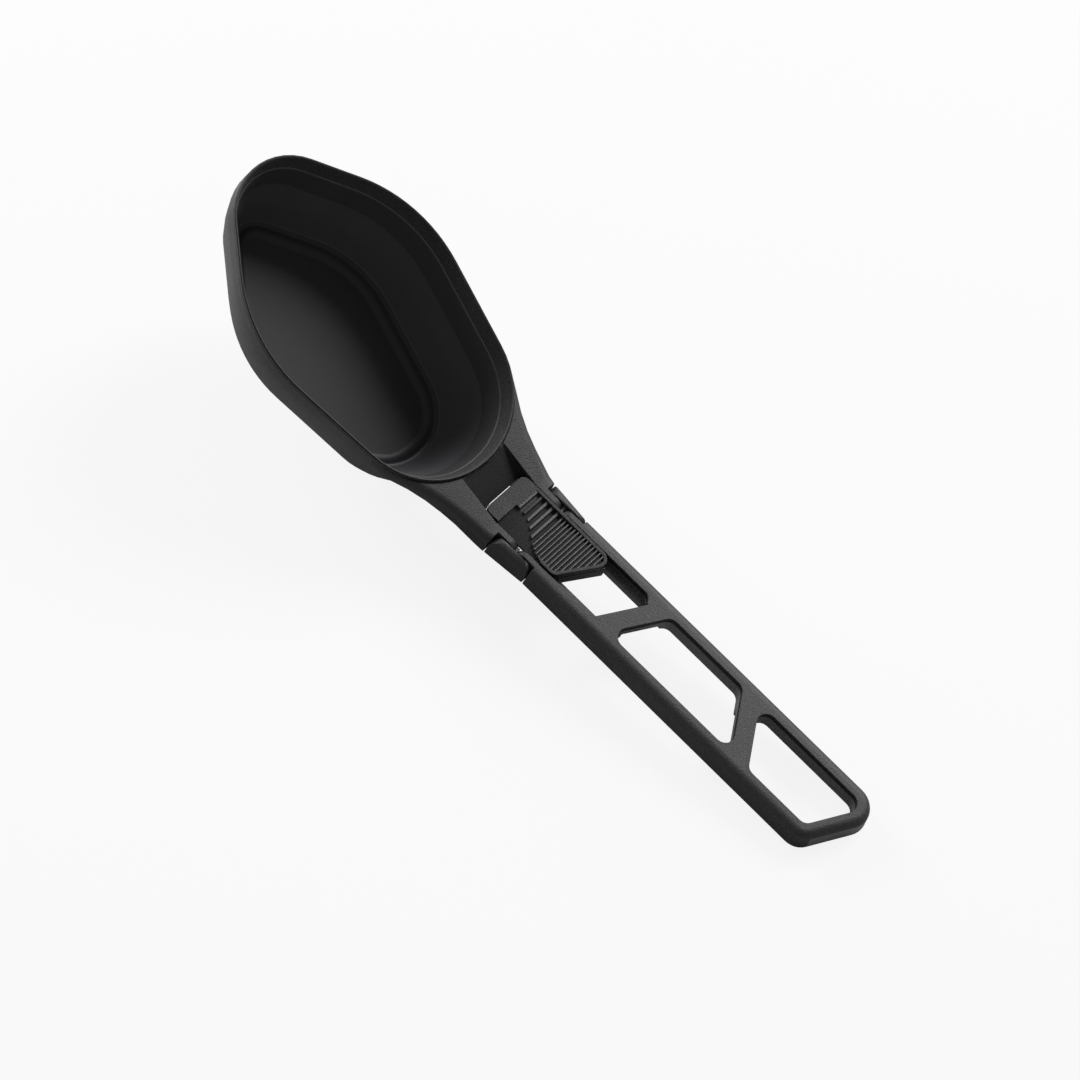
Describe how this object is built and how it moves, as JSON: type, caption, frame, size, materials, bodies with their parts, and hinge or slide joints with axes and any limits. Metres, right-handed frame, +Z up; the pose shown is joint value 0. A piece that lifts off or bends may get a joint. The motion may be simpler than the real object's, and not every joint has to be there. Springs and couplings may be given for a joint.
{
  "type": "folding spoon",
  "caption": "Folding serving spoon with a deep soft-edged bowl, a double-pivot hinge, a slotted flat handle and a ribbed sliding lock.",
  "frame": {"origin": "centre of the bounding box at floor level, with the open spoon standing on the rear of its base and the end of its handle", "axes": "+X from the bowl's tip to the handle's end, +Z up, +Y to the right of a user who looks from the handle to the bowl"},
  "size_m": [0.2408, 0.0658, 0.0633],
  "materials": {
    "charcoal_nylon": "fine-grained charcoal nylon",
    "soft_edge": "smooth soft edge, black",
    "lock_nylon": "charcoal nylon, ribbed",
    "pin_steel": "plain steel"
  },
  "bodies": {
    "head": {"spoon_head": "charcoal_nylon", "soft_rim_edge": "soft_edge"},
    "link": {"hinge_link_left": "charcoal_nylon", "hinge_link_right": "charcoal_nylon", "front_pin_left": "pin_steel", "front_pin_right": "pin_steel", "rear_pin_left": "pin_steel", "rear_pin_right": "pin_steel"},
    "handle": {"handle_frame": "charcoal_nylon"},
    "slide": {"slide_lock": "lock_nylon"}
  },
  "joints": [
    {"name": "front_fold", "type": "hinge", "parent": "head", "child": "link", "pos_m": [-0.00296, 0, 0.01544], "axis": [0, -1, 0], "range_deg": [0, 81.5]},
    {"name": "rear_fold", "type": "hinge", "parent": "link", "child": "handle", "pos_m": [0.00401, 0, 0.01475], "axis": [0, -1, 0], "range_deg": [0, 81.5]},
    {"name": "lock_slide", "type": "slide", "parent": "handle", "child": "slide", "axis": [0.9952, 0, -0.0982], "range_m": [0, 0.014]}
  ],
  "couplings": [
    {"joint": "front_fold", "follows": "rear_fold", "ratio": 1}
  ]
}
